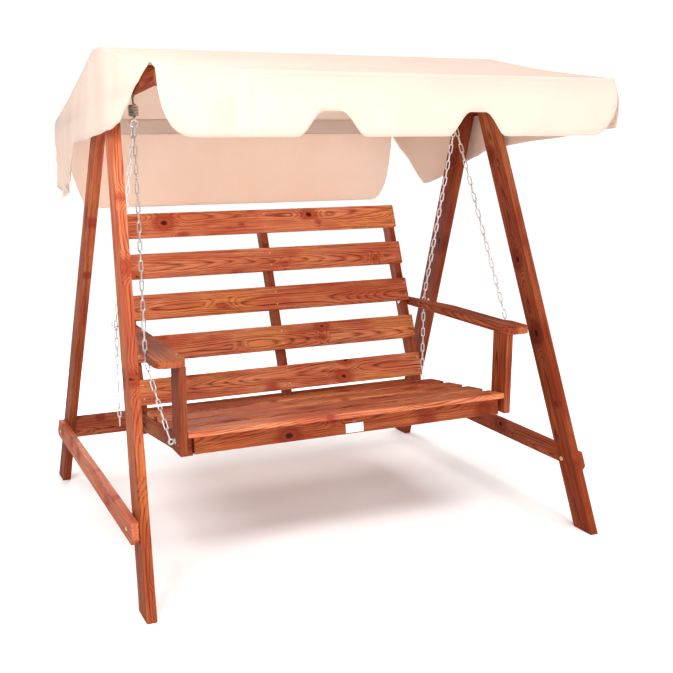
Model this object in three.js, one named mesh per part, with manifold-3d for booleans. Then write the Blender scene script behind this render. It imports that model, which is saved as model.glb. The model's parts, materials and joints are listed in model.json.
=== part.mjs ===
// Canopy swing bench: a slatted pine bench hung on chains and springs between
// two leaning A-frames, under a tent-shaped canvas canopy.
//
// Millimetres, +Z up, +Y to the rear, +X to the sitter's left. The floor is
// z = 0 and the origin is midway between the four feet.

import * as THREE from 'three';
import { mergeVertices } from 'three/addons/utils/BufferGeometryUtils.js';
import Module from 'manifold-3d';

const wasm = await Module();
wasm.setup();

// ---------------------------------------------------------------- dimensions

const GAP = 0.3;                 // between two pieces that touch
const SIDES = [['left', -1], ['right', 1]];
const ENDS = [['front', -1], ['rear', 1]];

// A-frames
const FOOT_WIDTH = 1800;         // across the outer faces of the feet
const FOOT_DEPTH = 1550;         // from front foot to rear foot
const FRAME_HEIGHT = 1825;
const LEAN = 0.0573;             // the frames lean inwards by this much per mm of height
const LEG_THICK = 34;
const LEG_WIDE = 95;
const LEG_SLOPE = 0.3959;        // horizontal run of a leg per mm of height
const LEG_SECTION = LEG_WIDE * Math.hypot(1, LEG_SLOPE);   // measured level

// boards that tie the frames together
const RAIL = { thick: 26, high: 70, z: 223.5, setback: 14, corner: 18, boltY: 594 };
const STRETCHER = { thick: 34, high: 92, z: 266 };
const BEAM = { thick: 45, high: 120 };

// canopy frame and cloth
const ARM = { thick: 20, high: 40, reach: 766, middleZ: 1628, drop: 0.083 };
const BAR = { thick: 28, high: 42 };
const CLOTH = 3;
const RIDGE_Z = 1829;            // the cloth lies flat over the tops of the legs
const RIDGE_HALF = 56;
const FRONT_HEM_Z = 1519;
const NOTCH = { x: 265, z: 1597, half: 110, top: 42 };
const REAR_HEM_Z = 1208;
const REAR_HEM_CORNER = { x: 735, z: 1330 };

// bench
const BOARD = { thick: 22, wide: 105 };
const SLAT_HALF = 655.6;
const FRAME_THICK = 28;          // posts, uprights, bearers and armrests
const BENCH_HALF = 656;          // to the outer faces of the side uprights
const BACK = { y: 158, z: 456, recline: 22.4, pitch: 176, count: 5 };
const UPRIGHT = { deep: 60, below: 110, above: 800 };
const SEAT = { y: -468, z: 519, tilt: 6.9, pitch: 150, count: 4 };
const BEARER = { high: 70, front: 46 };
const APRON = { front: 28, high: 64 };
const POST = { front: -470, rear: -375, foot: 434 };
const ARMREST_Z = POST.foot + 320 + GAP;
const LABEL = { wide: 74, high: 35, thick: 1, drop: 47 };

// hanging gear
const HANG_X = 689;
const PIVOT_Z = 1670;            // the hooks turn about the lowest wire of the beam eyes
const EYE = { radius: 14, wire: 4 };
const HOOK_WIRE = 3.5;
const SPRING = { radius: 20, neck: 7, shoulder: 8, bottom: 1588, top: 1642 };
const RING = { radius: 13, wire: 4 };
const CHAIN_WIRE = 5;
const CHAIN_OFFSET = 6;
const ARMREST_HOOK = { y: 265, z: 768, root: 672, tip: 738, rise: 16, wire: 3.5, chainX: 722 };
const POST_EYE = { x: 698, y: -405, z: 474, radius: 9, wire: 4 };
const CHAIN_EDGE = { x: 757, y: -310 };
const TAIL_END_Z = 345;
const BOLT = { shank: 4, head: 9, headHigh: 3, intoStretcher: 60 };

// ----------------------------------------------------------------- materials

const finish = (color, roughness, metalness) =>
  new THREE.MeshStandardMaterial({ color, roughness, metalness });

const PINE = () => finish(0x9c4a2a, 0.62, 0);
const CANVAS = () => finish(0xf7eadb, 0.9, 0);
const ZINC = () => finish(0xc9ccce, 0.35, 0.9);
const PLATE = () => finish(0xf0eee9, 0.5, 0);

// ---------------------------------------------------------- geometry helpers

const object = new THREE.Group();

function add(name, geometry, material, parent = object) {
  const mesh = new THREE.Mesh(geometry, material);
  mesh.name = name;
  parent.add(mesh);
  return mesh;
}

// A box between two corners.
function box(low, high) {
  const size = low.map((value, i) => high[i] - value);
  const middle = low.map((value, i) => (high[i] + value) / 2);
  return new THREE.BoxGeometry(...size).translate(...middle);
}

// A box given for the +X side, mirrored when side is -1.
function sideBox(side, low, high) {
  const inner = side * low[0];
  const outer = side * high[0];
  return box([Math.min(inner, outer), low[1], low[2]], [Math.max(inner, outer), high[1], high[2]]);
}

function outline(points) {
  return new THREE.Shape(points.map(([a, b]) => new THREE.Vector2(a, b)));
}

// Extrudes an outline drawn in (y, z) along X, from inner to outer on one side.
function boardAcross(shape, side, inner, outer) {
  const start = side > 0 ? inner : -outer;
  const along = new THREE.Matrix4().makeBasis(
    new THREE.Vector3(0, 1, 0), new THREE.Vector3(0, 0, 1), new THREE.Vector3(1, 0, 0));
  return new THREE.ExtrudeGeometry(shape, { depth: outer - inner, bevelEnabled: false })
    .applyMatrix4(along).translate(start, 0, 0);
}

// Extrudes an outline drawn in (x, z) along Y, from front to rear.
function boardFacing(shape, front, rear) {
  return new THREE.ExtrudeGeometry(shape, { depth: rear - front, bevelEnabled: false })
    .rotateX(Math.PI / 2).translate(0, rear, 0);
}

// A closed round bar between two points.
function rod(from, to, radius, sides = 12) {
  const a = new THREE.Vector3(...from);
  const b = new THREE.Vector3(...to);
  const turn = new THREE.Quaternion().setFromUnitVectors(
    new THREE.Vector3(0, 1, 0), b.clone().sub(a).normalize());
  return new THREE.CylinderGeometry(radius, radius, a.distanceTo(b), sides)
    .applyQuaternion(turn).translate(...a.add(b).multiplyScalar(0.5));
}

// A round bar that follows a curve.
function bentRod(curve, radius, steps, sides = 8) {
  const section = new THREE.Shape();
  section.absarc(0, 0, radius, 0, 2 * Math.PI);
  return new THREE.ExtrudeGeometry(section, {
    curveSegments: sides / 2, steps, extrudePath: curve,
  });
}

// Moves every point towards the middle by LEAN for each mm of its height.
function leanInwards(geometry) {
  const points = geometry.attributes.position;
  for (let i = 0; i < points.count; i += 1) {
    const shift = Math.sign(points.getX(i)) * LEAN * points.getZ(i);
    points.setX(i, points.getX(i) - shift);
  }
  return geometry;
}

function toSolid(geometry) {
  const bare = geometry.index ? geometry.toNonIndexed() : geometry.clone();
  bare.deleteAttribute('normal');
  bare.deleteAttribute('uv');
  const merged = mergeVertices(bare, 1e-4);
  return new wasm.Manifold(new wasm.Mesh({
    numProp: 3,
    vertProperties: new Float32Array(merged.attributes.position.array),
    triVerts: new Uint32Array(merged.index.array),
  }));
}

function fromSolid(solid) {
  const mesh = solid.getMesh();
  const geometry = new THREE.BufferGeometry();
  geometry.setAttribute('position', new THREE.BufferAttribute(mesh.vertProperties, 3));
  geometry.setIndex(new THREE.BufferAttribute(mesh.triVerts, 1));
  return geometry;
}

const drilled = (board, ...holes) =>
  fromSolid(holes.reduce((solid, hole) => solid.subtract(toSolid(hole)), toSolid(board)));

const joined = (first, ...others) =>
  fromSolid(others.reduce((solid, other) => solid.add(toSolid(other)), toSolid(first)));

// ------------------------------------------------------------------ A-frames

const OUTER = FOOT_WIDTH / 2;
const INNER = OUTER - LEG_THICK;
const RAIL_OUTER = OUTER + GAP + RAIL.thick;
const railBoltZ = RAIL.z + RAIL.high / 2;

// Distance from the middle plane to a leg's outer edge at a height.
const legEdge = (z) => FOOT_DEPTH / 2 - LEG_SLOPE * z;

function legShape(end) {
  const meet = (FOOT_DEPTH / 2 - LEG_SECTION) / LEG_SLOPE;
  return outline([
    [end * legEdge(0), 0],
    [end * (legEdge(0) - LEG_SECTION), 0],
    [end * GAP / 2, meet],
    [end * GAP / 2, FRAME_HEIGHT],
    [end * legEdge(FRAME_HEIGHT), FRAME_HEIGHT],
  ]);
}

// The front bolts clamp rail and leg. The rear ones run on into the stretcher's ends.
function railBolt(side, end) {
  const at = (x) => [side * x, end * RAIL.boltY, railBoltZ];
  const innerFace = INNER - GAP;
  const outerFace = RAIL_OUTER + GAP;
  const headAt = (x) => rod(at(x), at(x + BOLT.headHigh), BOLT.head);
  const shankFrom = end > 0 ? innerFace - BOLT.intoStretcher : innerFace - BOLT.headHigh;
  const shank = rod(at(shankFrom), at(outerFace + 1), BOLT.shank);
  const heads = end > 0 ? [headAt(outerFace)] : [headAt(outerFace), headAt(innerFace - BOLT.headHigh)];
  return leanInwards(joined(shank, ...heads));
}

function railBoltHole(side, end) {
  const at = (x) => [side * x, end * RAIL.boltY, railBoltZ];
  return rod(at(INNER - BOLT.intoStretcher - 1), at(RAIL_OUTER + 10), BOLT.shank + GAP);
}

function sideRailShape() {
  const endAt = (z) => legEdge(z) - RAIL.setback;
  const top = RAIL.z + RAIL.high;
  const half = (end) => [
    [end * (endAt(RAIL.z) - RAIL.corner), RAIL.z],
    [end * endAt(RAIL.z + RAIL.corner), RAIL.z + RAIL.corner],
    [end * endAt(top), top],
  ];
  return outline([...half(1), ...half(-1).reverse()]);
}

for (const [sideName, side] of SIDES) {
  for (const [endName, end] of ENDS) {
    const leg = drilled(boardAcross(legShape(end), side, INNER, OUTER), railBoltHole(side, end));
    add(`${endName}_leg_${sideName}`, leanInwards(leg), PINE());
    add(`${endName}_rail_bolt_${sideName}`, railBolt(side, end), ZINC());
  }
  const rail = boardAcross(sideRailShape(), side, OUTER + GAP, RAIL_OUTER);
  const holes = ENDS.map(([, end]) => railBoltHole(side, end));
  add(`side_rail_${sideName}`, leanInwards(drilled(rail, ...holes)), PINE());
}

// The rear stretcher lies flush with the inner edges of the rear legs.
const stretcherHalf = INNER - GAP;
const stretcherFront = legEdge(STRETCHER.z) - LEG_SECTION;
const stretcher = box([-stretcherHalf, 0, -STRETCHER.high / 2],
  [stretcherHalf, STRETCHER.thick, STRETCHER.high / 2])
  .rotateX(Math.atan(LEG_SLOPE))
  .translate(0, stretcherFront, STRETCHER.z);
const stretcherHoles = SIDES.map(([, side]) => railBoltHole(side, 1));
add('rear_stretcher', leanInwards(drilled(stretcher, ...stretcherHoles)), PINE());

// -------------------------------------------------------- top beam, its eyes

const beamBottom = FRAME_HEIGHT - BEAM.high;
const EYE_Z = PIVOT_Z + EYE.radius;
const eyeShank = (side, from, to, radius) => rod([side * HANG_X, 0, from], [side * HANG_X, 0, to], radius);

const beam = leanInwards(box(
  [-(INNER - GAP), -BEAM.thick / 2, beamBottom], [INNER - GAP, BEAM.thick / 2, FRAME_HEIGHT]));
const eyeDepth = beamBottom + 60;
add('top_beam', drilled(beam, ...SIDES.map(([, side]) =>
  eyeShank(side, beamBottom - 10, eyeDepth + GAP, EYE.wire + GAP))), PINE());

const standingTorus = (radius, wire, x, y, z) =>
  new THREE.TorusGeometry(radius, wire, 8, 24).rotateX(Math.PI / 2).translate(x, y, z);

for (const [sideName, side] of SIDES) {
  const eye = joined(
    standingTorus(EYE.radius, EYE.wire, side * HANG_X, 0, EYE_Z),
    eyeShank(side, EYE_Z + EYE.radius, eyeDepth, EYE.wire),
  );
  add(`beam_eye_${sideName}`, eye, ZINC());
}

// -------------------------------------------------------------- canopy frame

const ARM_OUTER = OUTER + GAP + ARM.thick;
const armZ = (y) => ARM.middleZ - ARM.drop * y;

for (const [sideName, side] of SIDES) {
  const arm = outline([
    [-ARM.reach, armZ(-ARM.reach) - ARM.high / 2],
    [ARM.reach, armZ(ARM.reach) - ARM.high / 2],
    [ARM.reach, armZ(ARM.reach) + ARM.high / 2],
    [-ARM.reach, armZ(-ARM.reach) + ARM.high / 2],
  ]);
  add(`canopy_arm_${sideName}`,
    leanInwards(boardAcross(arm, side, OUTER + GAP, ARM_OUTER)), PINE());
}

// The bars cross the ends of the arms.
const barTop = {};
for (const [endName, end] of ENDS) {
  const middle = armZ(end * ARM.reach);
  const low = middle - BAR.high / 2;
  const near = ARM.reach + GAP;
  const ys = [end * near, end * (near + BAR.thick)].sort((a, b) => a - b);
  const half = ARM_OUTER - LEAN * (low + BAR.high);
  add(`canopy_${endName}_bar`, box([-half, ys[0], low], [half, ys[1], low + BAR.high]), PINE());
  barTop[endName] = low + BAR.high;
}

// -------------------------------------------------------------- canopy cloth

const CLOTH_Y = ARM.reach + GAP + BAR.thick + GAP;      // inner face of the hanging cloth
const roofHalf = ARM_OUTER + GAP;

// One slope of the roof, from the ridge down to the outer edge of a bar.
function roofShape(end) {
  const edgeZ = barTop[end < 0 ? 'front' : 'rear'] + GAP;
  const edgeY = CLOTH_Y + CLOTH;
  return outline([
    [end * GAP / 2, RIDGE_Z - CLOTH],
    [end * RIDGE_HALF, RIDGE_Z - CLOTH],
    [end * edgeY, edgeZ],
    [end * edgeY, edgeZ + CLOTH],
    [end * RIDGE_HALF, RIDGE_Z],
    [end * GAP / 2, RIDGE_Z],
  ]);
}

for (const [endName, end] of ENDS) {
  const slope = boardAcross(roofShape(end), 1, -roofHalf, roofHalf);
  add(`canopy_${endName}_roof`, leanInwards(slope), CANVAS());
}

// Half of the front valance's lower edge: a full lobe, a bell-shaped notch, half a lobe.
function frontValanceShape(half, top) {
  const shape = new THREE.Shape();
  const { x, z, half: reach, top: flat } = NOTCH;
  const cornerX = half - 170;
  const bell = (centre, from) => {
    shape.lineTo(centre + from * reach, FRONT_HEM_Z);
    shape.bezierCurveTo(centre + from * reach * 0.6, FRONT_HEM_Z,
      centre + from * flat * 1.3, z, centre + from * flat, z);
    shape.lineTo(centre - from * flat, z);
    shape.bezierCurveTo(centre - from * flat * 1.3, z,
      centre - from * reach * 0.6, FRONT_HEM_Z, centre - from * reach, FRONT_HEM_Z);
  };
  shape.moveTo(-half, top);
  shape.quadraticCurveTo(-half + 30, FRONT_HEM_Z + 15, -cornerX, FRONT_HEM_Z);
  bell(-x, -1);
  bell(x, -1);
  shape.lineTo(cornerX, FRONT_HEM_Z);
  shape.quadraticCurveTo(half - 30, FRONT_HEM_Z + 15, half, top);
  return shape;
}

function rearValanceShape(half, top) {
  const shape = new THREE.Shape();
  const { x, z } = REAR_HEM_CORNER;
  shape.moveTo(-half, top);
  shape.lineTo(-half, z);
  shape.quadraticCurveTo(-half, REAR_HEM_Z, -x, REAR_HEM_Z);
  shape.lineTo(x, REAR_HEM_Z);
  shape.quadraticCurveTo(half, REAR_HEM_Z, half, z);
  shape.lineTo(half, top);
  return shape;
}

add('canopy_front_valance', boardFacing(
  frontValanceShape(roofHalf - LEAN * barTop.front, barTop.front), -CLOTH_Y - CLOTH, -CLOTH_Y),
CANVAS());
add('canopy_rear_valance', boardFacing(
  rearValanceShape(roofHalf - LEAN * barTop.rear, barTop.rear), CLOTH_Y, CLOTH_Y + CLOTH),
CANVAS());

// The end flaps hang outside the arms. The right one falls into a low corner
// behind the leg tops; the left one is hitched up and ends in a narrow tail.
const flapTop = [
  [CLOTH_Y, barTop.rear], [RIDGE_HALF, RIDGE_Z - CLOTH], [-RIDGE_HALF, RIDGE_Z - CLOTH],
  [-CLOTH_Y, barTop.front],
];
const FLAP_EDGE = {
  right: [
    [-790, 1560], [-30, 1467], [92, 1427], [288, 1354], [520, 1295], [700, 1441], [780, 1500],
  ],
  left: [
    [-690, 1700], [-436, 1624], [-167, 1550], [74, 1514], [430, 1500], [566, 1296], [640, 1490],
    [780, 1510],
  ],
};

for (const [sideName, side] of SIDES) {
  const flap = outline([...flapTop, ...FLAP_EDGE[sideName]]);
  const inner = roofHalf + GAP;
  add(`canopy_end_flap_${sideName}`,
    leanInwards(boardAcross(flap, side, inner, inner + CLOTH)), CANVAS());
}

// ----------------------------------------------------------------- the bench

const bench = new THREE.Group();
object.add(bench);

const back = new THREE.Group();
back.position.set(0, BACK.y, BACK.z);
back.rotation.x = -THREE.MathUtils.degToRad(BACK.recline);
bench.add(back);

for (let i = 0; i < BACK.count; i += 1) {
  const low = i * BACK.pitch;
  const slat = box([-SLAT_HALF, 0, low], [SLAT_HALF, BOARD.thick, low + BOARD.wide]);
  add(`back_slat_${i + 1}`, slat, PINE(), back);
}

const UPRIGHTS = [
  ['left', -BENCH_HALF], ['centre', -FRAME_THICK / 2], ['right', BENCH_HALF - FRAME_THICK],
];
const uprightFront = BOARD.thick + GAP;
for (const [name, x] of UPRIGHTS) {
  add(`back_upright_${name}`, box([x, uprightFront, -UPRIGHT.below],
    [x + FRAME_THICK, uprightFront + UPRIGHT.deep, UPRIGHT.above]), PINE(), back);
}

const seat = new THREE.Group();
seat.position.set(0, SEAT.y, SEAT.z);
seat.rotation.x = -THREE.MathUtils.degToRad(SEAT.tilt);
bench.add(seat);

for (let i = 0; i < SEAT.count; i += 1) {
  const front = i * SEAT.pitch;
  const slat = box([-SLAT_HALF, front, -BOARD.thick], [SLAT_HALF, front + BOARD.wide, 0]);
  add(`seat_slat_${i + 1}`, slat, PINE(), seat);
}

// In the seat's own frame, the plane of the uprights' front faces.
back.updateMatrixWorld(true);
seat.updateMatrixWorld(true);
const toSeat = seat.matrixWorld.clone().invert();
const uprightFoot = new THREE.Vector3(0, uprightFront, -UPRIGHT.below)
  .applyMatrix4(back.matrixWorld).applyMatrix4(toSeat);
const uprightHead = new THREE.Vector3(0, uprightFront, UPRIGHT.above)
  .applyMatrix4(back.matrixWorld).applyMatrix4(toSeat);

function bearerEnd(z) {
  const share = (z - uprightFoot.z) / (uprightHead.z - uprightFoot.z);
  return THREE.MathUtils.lerp(uprightFoot.y, uprightHead.y, share) - 2 * GAP;
}

// A bearer under the seat, mitred against the face of its upright.
function bearer(x, front) {
  const top = -BOARD.thick - GAP;
  const low = top - BEARER.high;
  const shape = outline([[front, low], [bearerEnd(low), low], [bearerEnd(top), top], [front, top]]);
  return boardAcross(shape, 1, x, x + FRAME_THICK);
}

const apronRear = APRON.front + FRAME_THICK;
const BEARERS = [
  ['left', -BENCH_HALF, BEARER.front],
  ['centre', -FRAME_THICK / 2, apronRear + GAP],
  ['right', BENCH_HALF - FRAME_THICK, BEARER.front],
];
const boltInSeat = new THREE.Vector3(0, POST_EYE.y, POST_EYE.z).applyMatrix4(toSeat);

for (const [name, x, front] of BEARERS) {
  const board = bearer(x, front);
  const hole = rod([x - 10, boltInSeat.y, boltInSeat.z],
    [x + FRAME_THICK + 10, boltInSeat.y, boltInSeat.z], POST_EYE.wire + GAP);
  const isSide = name !== 'centre';
  add(`seat_bearer_${name}`, isSide ? drilled(board, hole) : board, PINE(), seat);
}

const apronHalf = BENCH_HALF - FRAME_THICK - GAP;
const apronTop = -BOARD.thick - GAP;
add('seat_apron', box([-apronHalf, APRON.front, apronTop - APRON.high],
  [apronHalf, apronRear, apronTop]), PINE(), seat);

const labelTop = -LABEL.drop;
add('label_plate', box(
  [-LABEL.wide / 2, APRON.front - GAP - LABEL.thick, labelTop - LABEL.high],
  [LABEL.wide / 2, APRON.front - GAP, labelTop]), PLATE(), seat);

// Armrest outline for the +X side: slim at the rear, flared at the front, with
// rounded front corners.
const ARMREST_INNER = BENCH_HALF + GAP;
const ARMREST = [
  [ARMREST_INNER, 366], [ARMREST_INNER, -458], [ARMREST_INNER + 6, -472], [ARMREST_INNER + 22, -478],
  [732, -478], [753, -470], [764, -452], [766, -428], [766, -352], [760, -332], [748, -322],
  [748, 60], [690, 366],
];

function armrest(side) {
  const shape = outline(ARMREST.map(([x, y]) => [side * x, y]));
  const board = new THREE.ExtrudeGeometry(shape, { depth: FRAME_THICK, bevelEnabled: false })
    .translate(0, 0, ARMREST_Z);
  const { root, tip, y, z, wire } = ARMREST_HOOK;
  return drilled(board, rod([side * (root - GAP), y, z], [side * tip, y, z], wire + GAP));
}

for (const [sideName, side] of SIDES) {
  const postInner = BENCH_HALF + GAP;
  const postOuter = postInner + FRAME_THICK;
  const post = sideBox(side, [postInner, POST.front, POST.foot],
    [postOuter, POST.rear, ARMREST_Z - GAP]);
  const hole = rod([side * (postInner - 10), POST_EYE.y, POST_EYE.z],
    [side * (postOuter + 10), POST_EYE.y, POST_EYE.z], POST_EYE.wire + GAP);
  add(`arm_post_${sideName}`, drilled(post, hole), PINE(), bench);
  add(`armrest_${sideName}`, armrest(side), PINE(), bench);
}

// -------------------------------------------------------------- hanging gear

// A hook of round wire over the eye, which turns about the pivot line.
function hook(side) {
  const bend = EYE.wire + HOOK_WIRE + 0.6;
  const at = (y, z) => new THREE.Vector3(side * HANG_X, y, z);
  const turnPoints = Array.from({ length: 9 }, (_, i) => {
    const angle = Math.PI * i / 8;
    return at(bend * Math.cos(angle), PIVOT_Z + bend * Math.sin(angle));
  });
  const foot = SPRING.top + GAP;
  const path = new THREE.CatmullRomCurve3([
    at(0, foot), at(0, foot + 5), at(bend * 0.7, PIVOT_Z - 14), ...turnPoints, at(-bend, PIVOT_Z - 9),
  ]);
  return bentRod(path, HOOK_WIRE, 32);
}

// The spring's outer form: a drum of close coils with a neck at each end.
function springDrum(side) {
  const { radius, neck, shoulder, bottom, top } = SPRING;
  const profile = [
    [0, bottom], [neck, bottom], [radius, bottom + shoulder],
    [radius, top - shoulder], [neck, top], [0, top],
  ];
  return new THREE.LatheGeometry(profile.map(([r, z]) => new THREE.Vector2(r, z)), 20)
    .rotateX(Math.PI / 2).translate(side * HANG_X, 0, 0);
}

const ringZ = SPRING.bottom - GAP - 1 - RING.radius - RING.wire;

function ring(side) {
  const top = SPRING.bottom - GAP;
  return joined(
    standingTorus(RING.radius, RING.wire, side * HANG_X, 0, ringZ),
    eyeShank(side, top - RING.wire - 1, top, RING.wire),
  );
}

const chainTop = ringZ - RING.radius - RING.wire - 2 * GAP;

// A bar through the given points, with a round knuckle at each corner.
function chainBar(points) {
  const rods = points.slice(1).map((point, i) => rod(points[i], point, CHAIN_WIRE, 8));
  const knuckles = points.slice(1, -1).map((point) =>
    new THREE.IcosahedronGeometry(CHAIN_WIRE + GAP, 1).translate(...point));
  return joined(...rods, ...knuckles);
}

// Front chain: from the ring, round the armrest's outer edge, to the post's eye.
function frontChain(side) {
  return chainBar([
    [side * HANG_X, -CHAIN_OFFSET, chainTop],
    [side * CHAIN_EDGE.x, CHAIN_EDGE.y, ARMREST_Z + FRAME_THICK + 8],
    [side * CHAIN_EDGE.x, CHAIN_EDGE.y - 10, ARMREST_Z - 8],
    [side * (POST_EYE.x + 4), POST_EYE.y + 3, POST_EYE.z + POST_EYE.radius + POST_EYE.wire + 6],
  ]);
}

// Rear chain: from the ring to the armrest's hook, which it passes on the rear
// side, and its spare end hanging down.
function rearChain(side) {
  const { chainX, y, z, wire } = ARMREST_HOOK;
  const behind = y + wire + CHAIN_WIRE + 2 * GAP;
  return chainBar([
    [side * HANG_X, CHAIN_OFFSET, chainTop],
    [side * chainX, behind, z + 20],
    [side * chainX, behind, TAIL_END_Z],
  ]);
}

// A screw hook in the armrest's outer edge, turned up at its tip.
function armrestHook(side) {
  const { root, tip, y, z, rise, wire } = ARMREST_HOOK;
  const bend = [side * tip, y, z];
  return joined(
    rod([side * root, y, z], bend, wire),
    new THREE.IcosahedronGeometry(wire + GAP, 1).translate(...bend),
    rod(bend, [side * (tip + 2), y, z + rise], wire),
  );
}

// An eye on a straight shank that points along X into the wood.
function sideEye(side, spec, shankTo) {
  const { x, y, z, radius, wire } = spec;
  const ringShape = new THREE.TorusGeometry(radius, wire, 8, 20)
    .rotateX(Math.PI / 2).translate(side * x, y, z);
  return joined(ringShape, rod([side * (x - radius), y, z], [side * shankTo, y, z], wire));
}

const hangers = new THREE.Group();
object.add(hangers);

for (const [sideName, side] of SIDES) {
  add(`spring_hook_${sideName}`, hook(side), ZINC(), hangers);
  add(`coil_spring_${sideName}`, springDrum(side), ZINC(), hangers);
  add(`chain_ring_${sideName}`, ring(side), ZINC(), bench);
  add(`front_chain_${sideName}`, frontChain(side), ZINC(), bench);
  add(`rear_chain_${sideName}`, rearChain(side), ZINC(), bench);

  add(`armrest_hook_${sideName}`, armrestHook(side), ZINC(), bench);

  const nutOuter = BENCH_HALF - FRAME_THICK - GAP;
  const nut = rod([side * nutOuter, POST_EYE.y, POST_EYE.z],
    [side * (nutOuter - 7), POST_EYE.y, POST_EYE.z], 8, 6);
  add(`post_eye_${sideName}`,
    joined(sideEye(side, POST_EYE, nutOuter - 9), nut), ZINC(), bench);
}

export default object;
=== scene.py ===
"""Canopy swing bench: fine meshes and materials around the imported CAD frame.

Metres, +Z up. The front is -Y, and left and right are as seen from the front.
"""

import json
import math

import bmesh
import bpy
from mathutils import Matrix, Vector, noise

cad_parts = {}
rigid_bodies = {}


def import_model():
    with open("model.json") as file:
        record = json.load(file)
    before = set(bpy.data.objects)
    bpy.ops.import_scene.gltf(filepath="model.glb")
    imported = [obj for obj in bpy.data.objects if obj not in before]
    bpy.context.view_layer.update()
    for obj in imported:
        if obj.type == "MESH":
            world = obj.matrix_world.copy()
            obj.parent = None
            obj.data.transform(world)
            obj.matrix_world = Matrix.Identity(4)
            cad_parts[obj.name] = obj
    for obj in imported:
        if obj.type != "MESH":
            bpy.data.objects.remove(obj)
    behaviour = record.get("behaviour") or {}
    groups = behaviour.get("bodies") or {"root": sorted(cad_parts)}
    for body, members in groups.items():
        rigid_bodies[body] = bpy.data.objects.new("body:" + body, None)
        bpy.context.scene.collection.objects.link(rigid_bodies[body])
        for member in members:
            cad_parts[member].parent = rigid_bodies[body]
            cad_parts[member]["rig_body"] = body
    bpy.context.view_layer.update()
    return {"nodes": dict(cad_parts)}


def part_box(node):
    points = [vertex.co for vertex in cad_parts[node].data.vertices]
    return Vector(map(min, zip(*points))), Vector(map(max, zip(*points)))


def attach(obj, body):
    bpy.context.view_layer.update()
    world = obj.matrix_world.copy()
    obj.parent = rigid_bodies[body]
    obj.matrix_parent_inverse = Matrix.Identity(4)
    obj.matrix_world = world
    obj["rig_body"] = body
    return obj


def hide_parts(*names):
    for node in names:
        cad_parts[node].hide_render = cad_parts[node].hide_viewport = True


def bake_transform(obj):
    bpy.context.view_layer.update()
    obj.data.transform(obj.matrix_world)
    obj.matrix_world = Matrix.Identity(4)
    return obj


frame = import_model()

# ------------------------------------------------------------------ dimensions

SIDES = (("left", -1), ("right", 1))
ENDS = (("front", -1), ("rear", 1))

# The A-frames lean inwards by this much for each metre of height.
LEAN = 0.0573
LEG_OUTER = 0.9                 # middle plane to the outer face of a foot
LEG_SLOPE = 0.3959              # horizontal run of a leg for each metre of height

WOOD_ROUNDING = 0.0035
GOLDEN_SHARE = 0.618034         # spreads the boards' tones evenly

# How dark each kind of board is made, at full height and at the floor: partly the boards' own
# stain, and partly painted light and shade. It is lighter at the top of the left front leg, and
# darker towards the floor, on the right-hand frame and on the canopy's arms. The shader holds it
# between 0, a light slat, and 1, full darkening. The first entry that a node's name starts with
# counts.
STAIN_AND_SHADE = {"back_slat_3": (0.3, 0.3), "back_slat": (0.0, 0.0), "seat_slat": (0.0, 0.0),
         "seat_apron": (0.85, 0.85), "seat_bearer": (0.7, 0.7), "back_upright": (0.7, 0.9),
         "armrest_left": (0.6, 0.6), "armrest_right": (0.6, 0.6), "arm_post": (0.8, 0.8),
         "side_rail_left": (0.35, 0.35), "side_rail_right": (0.7, 0.7),
         "front_leg_left": (-0.3, 1.2), "rear_leg_left": (0.2, 1.1),
         "front_leg_right": (0.4, 1.3), "rear_leg_right": (1.0, 1.3),
         "rear_stretcher": (0.6, 0.6), "top_beam": (0.8, 0.8), "canopy_arm": (1.0, 1.0),
         "canopy_front_bar": (1.0, 1.0), "canopy_rear_bar": (1.0, 1.0)}
WOOD_NODES = sorted(name for name in frame["nodes"] if name.startswith(tuple(STAIN_AND_SHADE)))
FRAME_HEIGHT = 1.825            # top of the legs

BACK = {"y": 0.158, "z": 0.456, "recline": 22.4, "pitch": 0.176, "count": 5}
SEAT = {"y": -0.468, "z": 0.519, "tilt": 6.9, "pitch": 0.150, "count": 4}
SCREW_LINES = (0.025, 0.080)    # across a 105 mm slat
UPRIGHT_X = (-0.642, 0.0, 0.642)

HANG_X = 0.689
CHAIN_WIRE = 0.0024
LINK = {"pitch": 0.0365, "half_width": 0.0062}


def turned(y, z, degrees):
    """The frame of the seat or the back: its origin and its tilt to the rear."""
    return Matrix.Translation((0, y, z)) @ Matrix.Rotation(-math.radians(degrees), 4, "X")


BACK_FRAME = turned(BACK["y"], BACK["z"], BACK["recline"])
SEAT_FRAME = turned(SEAT["y"], SEAT["z"], SEAT["tilt"])


def outer_face(z, proud=0.0):
    """X of the outer faces of the legs at a height, plus an offset."""
    return LEG_OUTER - LEAN * z + proud


def centre_of(node):
    """The middle of a CAD node's box."""
    low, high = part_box(node)
    return (low + high) / 2


def inner_outer(node, side):
    """X of a CAD node's ends, the one nearer the middle plane first."""
    low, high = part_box(node)
    return (low.x, high.x) if side > 0 else (high.x, low.x)


# ------------------------------------------------------------- shader building

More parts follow.
